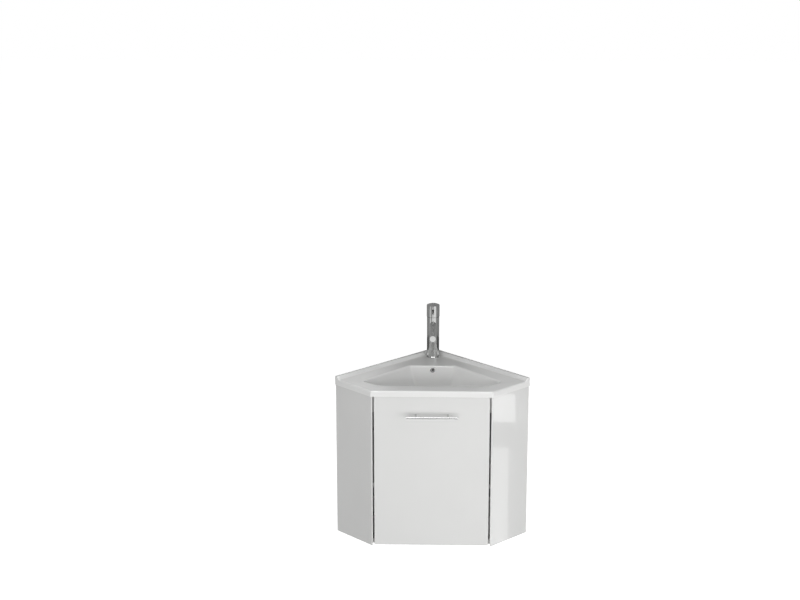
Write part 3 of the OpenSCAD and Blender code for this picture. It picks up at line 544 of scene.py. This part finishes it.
# Points of a ring round the bowl, and steps of the rounded stretches
RING_POINTS = 288
LIP_STEPS = 10
SLOPE_STEPS = 4
FOOT_STEPS = 12
TILT_HALVINGS = 40
EDGE_STEPS = 10
CORNER_STEPS = 8
SWEEP_STEPS = 14
END_STEPS = 10
DRUM_POINTS = 96
SMOOTH_BELOW = math.radians(28)
# In metres: points closer than this are one point, and edges shorter than this are none
MERGE_WITHIN = 2e-6
NO_LENGTH = 1e-6


def wall_point(u, v):
    """x and y of a point at u along the right-hand wall and v off it."""
    return ((u - v) * COS_45, -(u + v) * COS_45)


def v_at(u, y):
    """How far off the wall the point lies that has this u and this y."""
    return -y / COS_45 - u


def solid(name, points, faces):
    """A closed mesh in metres from points in millimetres."""
    mesh = bpy.data.meshes.new(name)
    build = bmesh.new()
    verts = [build.verts.new((x * MM, y * MM, z * MM)) for x, y, z in points]
    for face in faces:
        build.faces.new([verts[i] for i in face])
    bmesh.ops.remove_doubles(build, verts=build.verts, dist=MERGE_WITHIN)
    bmesh.ops.dissolve_degenerate(build, edges=build.edges, dist=NO_LENGTH)
    bmesh.ops.recalc_face_normals(build, faces=build.faces)
    build.to_mesh(mesh)
    build.free()
    piece = bpy.data.objects.new(name, mesh)
    bpy.context.scene.collection.objects.link(piece)
    return piece


def loft(name, rings):
    """A closed mesh through rings of equally many points, with a face over each end."""
    n = len(rings[0])
    points = [point for ring in rings for point in ring]
    faces = []
    for k in range(len(rings) - 1):
        for i in range(n):
            j = (i + 1) % n
            faces.append((k * n + i, k * n + j, (k + 1) * n + j, (k + 1) * n + i))
    faces.append(tuple(range(n)))
    faces.append(tuple(range((len(rings) - 1) * n, len(rings) * n)))
    return solid(name, points, faces)


def prism(name, points, z0, z1):
    return loft(name, [[(x, y, z0) for x, y in points], [(x, y, z1) for x, y in points]])


def drum(name, x, y, r, z0, z1):
    turns = [2 * math.pi * i / DRUM_POINTS for i in range(DRUM_POINTS)]
    return prism(name, [(x + r * math.cos(a), y + r * math.sin(a)) for a in turns], z0, z1)


def block(name, x0, x1, y0, y1, z0, z1):
    return prism(name, [(x0, y0), (x1, y0), (x1, y1), (x0, y1)], z0, z1)


def moved(piece, matrix):
    piece.data.transform(matrix)
    return piece


def combine(target, tool, operation):
    """Adds the tool to the target or cuts it out, and removes the tool."""
    modifier = target.modifiers.new("cut", "BOOLEAN")
    modifier.operation = operation
    modifier.object = tool
    modifier.solver = "EXACT"
    graph = bpy.context.evaluated_depsgraph_get()
    mesh = bpy.data.meshes.new_from_object(target.evaluated_get(graph))
    target.modifiers.clear()
    target.data = mesh
    bpy.data.objects.remove(tool)


def ring_directions():
    """Directions round the bowl, as unit vectors."""
    turns = [2 * math.pi * (i + 0.5) / RING_POINTS for i in range(RING_POINTS)]
    return [(math.cos(a), math.sin(a)) for a in turns]


def support(circles, direction):
    """The point of the hull of these circles that lies farthest in a direction."""
    dx, dy = direction
    best = max(circles, key=lambda circle: circle[0] * dx + circle[1] * dy + circle[2])
    return best[0] + best[2] * dx, best[1] + best[2] * dy


def both_halves(circles):
    return circles + [(-x, y, r) for x, y, r in circles]


def bowl_outline(inset, z):
    """The bowl's outline at the deck, made smaller by the inset."""
    circles = both_halves([(x, y, r - inset) for x, y, r in BOWL_TOP])
    return [(*support(circles, direction), z) for direction in ring_directions()]


def slope_tilt(top_reach, foot_reach, r):
    """The tilt of the plane that touches the top outline and the foot's ball, found by halving."""
    low, high = 0.0, math.pi / 2
    for _ in range(TILT_HALVINGS):
        tilt = (low + high) / 2
        gap = (top_reach - foot_reach) * math.cos(tilt) - (SLOPE_TOP_Z - FOOT_Z) * math.sin(tilt) - r
        if gap > 0:
            low = tilt
        else:
            high = tilt
    return tilt


def slope_column(direction, top, foot, r):
    """Points down the sloping wall and round its foot, in one direction from the middle."""
    dx, dy = direction
    top_x, top_y = support(top, direction)
    foot_x, foot_y = support(foot, direction)
    tilt = slope_tilt(top_x * dx + top_y * dy, foot_x * dx + foot_y * dy, r)

    def round_foot(angle):
        out = r * math.cos(angle)
        return foot_x + out * dx, foot_y + out * dy, FOOT_Z - r * math.sin(angle)

    end_x, end_y, end_z = round_foot(tilt)
    column = []
    for k in range(1, SLOPE_STEPS + 1):
        s = k / SLOPE_STEPS
        column.append((top_x + (end_x - top_x) * s, top_y + (end_y - top_y) * s,
                       SLOPE_TOP_Z + (end_z - SLOPE_TOP_Z) * s))
    for k in range(1, FOOT_STEPS + 1):
        column.append(round_foot(tilt + (math.pi / 2 - tilt) * k / FOOT_STEPS))
    return column


def bowl_rings(grow, lip):
    """Rings from the deck down to the floor: rolled lip, sloping wall, round foot."""
    if lip:
        rings = [bowl_outline(0, DECK_Z + HOLLOW_PAST)]
        for k in range(LIP_STEPS + 1):
            a = math.pi / 2 * k / LIP_STEPS
            rings.append(bowl_outline(LIP_W * math.sin(a), DECK_Z - LIP_H * (1 - math.cos(a))))
    else:
        rings = [bowl_outline(LIP_W - grow, SLOPE_TOP_Z)]
    top = both_halves([(x, y, r - LIP_W + grow) for x, y, r in BOWL_TOP])
    foot = both_halves([(x, y, 0.0) for x, y in BOWL_FOOT])
    columns = [slope_column(direction, top, foot, FOOT_R + grow) for direction in ring_directions()]
    for k in range(len(columns[0])):
        rings.append([column[k] for column in columns])
    return rings


def slab():
    """The deck with its apron: straight along the walls, rounded over its free edges."""
    turns = [math.pi / 2 * k / EDGE_STEPS for k in range(EDGE_STEPS + 1)]
    levels = [(CAB_H, EDGE_R)]
    levels += [(DECK_Z - EDGE_R + EDGE_R * math.sin(a), EDGE_R * math.cos(a)) for a in turns]
    u = BASIN_LEG - EDGE_R
    centre_x, centre_y = wall_point(u, v_at(u, BASIN_FRONT_Y + EDGE_R))
    rings = []
    for z, r in levels:
        half = [wall_point(u + r, 0)]
        for k in range(CORNER_STEPS + 1):
            a = math.radians(-45 - 45 * k / CORNER_STEPS)
            half.append((centre_x + r * math.cos(a), centre_y + r * math.sin(a)))
        ring = [(0, 0)] + half + [(-x, y) for x, y in reversed(half)]
        rings.append([(x, y, z) for x, y in ring])
    return loft("slab", rings)


def upstand(side):
    """The raised strip along one wall, swept in an S to the deck, its upright end rounded at the top."""
    flat = UPSTAND_FLAT * UPSTAND_W
    top = [(0, UPSTAND_H)]
    for k in range(SWEEP_STEPS + 1):
        v = flat + (UPSTAND_W - flat) * k / SWEEP_STEPS
        top.append((v, UPSTAND_H * (1 + math.cos(math.pi * k / SWEEP_STEPS)) / 2))
    stations = [(0, 0)]
    for k in range(END_STEPS + 1):
        a = math.pi / 2 * k / END_STEPS
        stations.append((BASIN_LEG - UPSTAND_END_R * (1 - math.sin(a)), UPSTAND_END_R * (1 - math.cos(a))))
    sunk = -EDGE_R - PAST
    rings = []
    for u, drop in stations:
        section = [(v, h - drop) for v, h in top] + [(UPSTAND_W, sunk), (0, sunk)]
        rings.append([(side * wall_point(u, v)[0], wall_point(u, v)[1], DECK_Z + h) for v, h in section])
    return loft("upstand", rings)


def at_overflow():
    """The place at the top of the bowl's back wall, tilted as that wall is."""
    return Matrix.Translation((0, BACK_TOP_Y * MM, SLOPE_TOP_Z * MM)) @ Matrix.Rotation(-BACK_TILT, 4, "X")


def hollow_underside(basin):
    """Cuts the room under the deck, inside the apron."""
    u = BASIN_LEG - APRON_T
    corners = [(APRON_T, APRON_T), (u, APRON_T), (u, v_at(u, BASIN_FRONT_Y + APRON_T))]
    half = [wall_point(*corner) for corner in corners]
    under = half + [(-x, y) for x, y in reversed(half[1:])]
    combine(basin, prism("under", under, CAB_H - PAST, DECK_Z - DECK_T), "DIFFERENCE")


def overflow_duct(basin):
    """Adds the skin of the duct from the overflow's hole to the boss, then cuts its inside."""
    for grow, operation in ((DUCT_WALL, "UNION"), (0.0, "DIFFERENCE")):
        half_w = DUCT_W / 2 + grow
        y0 = BOWL_WALL + DUCT_BEHIND - grow
        leg = block("leg", -half_w, half_w, y0, y0 + DUCT_T + 2 * grow, -DUCT_LENGTH - grow, -DUCT_TOP_DOWN)
        moved(leg, at_overflow())
        if grow:
            trim = block("cap", -TRIM_HALF_W, TRIM_HALF_W, TRIM_FRONT_Y, 0, DECK_Z, DECK_Z + TRIM_H)
            combine(leg, trim, "DIFFERENCE")
        combine(basin, leg, operation)
        run = block("foot", -half_w, half_w, DUCT_RUN_END_Y, BACK_FOOT_Y,
                    DUCT_RUN_Z - grow, DUCT_RUN_Z + DUCT_RUN_H + grow)
        combine(basin, run, operation)


def round_holes(basin):
    """The holes for the overflow ring, the waste with its recess, and the tap."""
    down = Matrix.Translation((0, 0, -OVERFLOW_DOWN * MM)) @ Matrix.Rotation(math.radians(-90), 4, "X")
    overflow = moved(drum("overflow", 0, 0, OVERFLOW_HOLE_R, -PAST, OVERFLOW_HOLE_END), at_overflow() @ down)
    combine(basin, overflow, "DIFFERENCE")
    waste = drum("waste", 0, WASTE_Y, WASTE_HOLE_R, BOSS_Z - PAST, BOWL_FLOOR_Z + PAST)
    combine(basin, waste, "DIFFERENCE")
    recess = drum("recess", 0, WASTE_Y, RECESS_R, BOWL_FLOOR_Z - RECESS_DEPTH, BOWL_FLOOR_Z + PAST)
    combine(basin, recess, "DIFFERENCE")
    tap_hole = drum("tap_hole", 0, TAP_Y, TAP_HOLE_R, DECK_Z - DECK_T - PAST, DECK_Z + PAST)
    combine(basin, tap_hole, "DIFFERENCE")


def make_basin():
    """The washbasin as one moulding."""
    basin = slab()
    basin.name = "washbasin_moulding"
    hollow_underside(basin)
    for side in (1, -1):
        combine(basin, upstand(side), "UNION")
    combine(basin, loft("shell", bowl_rings(BOWL_WALL, False)), "UNION")
    combine(basin, drum("boss", 0, WASTE_Y, BOSS_R, BOSS_Z, BOWL_FLOOR_Z), "UNION")
    overflow_duct(basin)
    combine(basin, loft("hollow", bowl_rings(0, True)), "DIFFERENCE")
    round_holes(basin)
    mesh = basin.data
    mesh.shade_smooth()
    mesh.set_sharp_from_angle(angle=SMOOTH_BELOW)
    mesh.materials.clear()
    mesh.materials.append(MATERIALS["white_ceramic"])
    return basin


basin = make_basin()
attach(basin, "cabinet")
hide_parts("washbasin")
